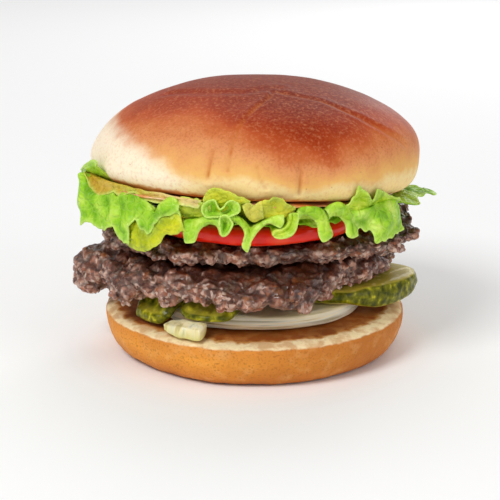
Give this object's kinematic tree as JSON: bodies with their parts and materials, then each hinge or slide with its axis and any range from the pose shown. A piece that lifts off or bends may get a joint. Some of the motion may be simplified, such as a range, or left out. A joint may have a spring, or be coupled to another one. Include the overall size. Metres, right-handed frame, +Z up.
{
  "type": "hamburger",
  "caption": "Tall round hamburger: domed bun over ruffled lettuce, tomato and beef patties, with pickle chips and onion on a flat bun heel.",
  "frame": {"origin": "centre of the flat underside of the bun's heel, on the surface it stands on", "axes": "+Z up through the stack; -Y is the front, where the tomato and the pickle chips show; +X is to the right seen from the front"},
  "size_m": [0.1331, 0.1192, 0.098],
  "materials": {
    "bun_heel": "matte baked crust, golden tan",
    "bun_crown": "satin glazed crust, red-brown on top and cream below",
    "onion": "moist, translucent white",
    "pickle": "wet olive green skin",
    "beef": "coarse browned mince with glossy fat",
    "tomato": "glossy red skin",
    "lettuce": "crisp, moist bright green",
    "sauce": "creamy pink-orange dressing"
  },
  "bodies": {
    "root": {"heel": "bun_heel", "crown": "bun_crown", "onion_slice": "onion", "onion_piece": "onion", "pickle_left": "pickle", "pickle_middle": "pickle", "pickle_right": "pickle", "pickle_back": "pickle", "patty_lower": "beef", "patty_upper": "beef", "tomato_slice": "tomato", "lettuce_front": "lettuce", "lettuce_left": "lettuce", "lettuce_left_upper": "lettuce", "lettuce_right": "lettuce", "lettuce_inner": "lettuce", "lettuce_back": "lettuce", "sauce": "sauce"}
  },
  "joints": []
}
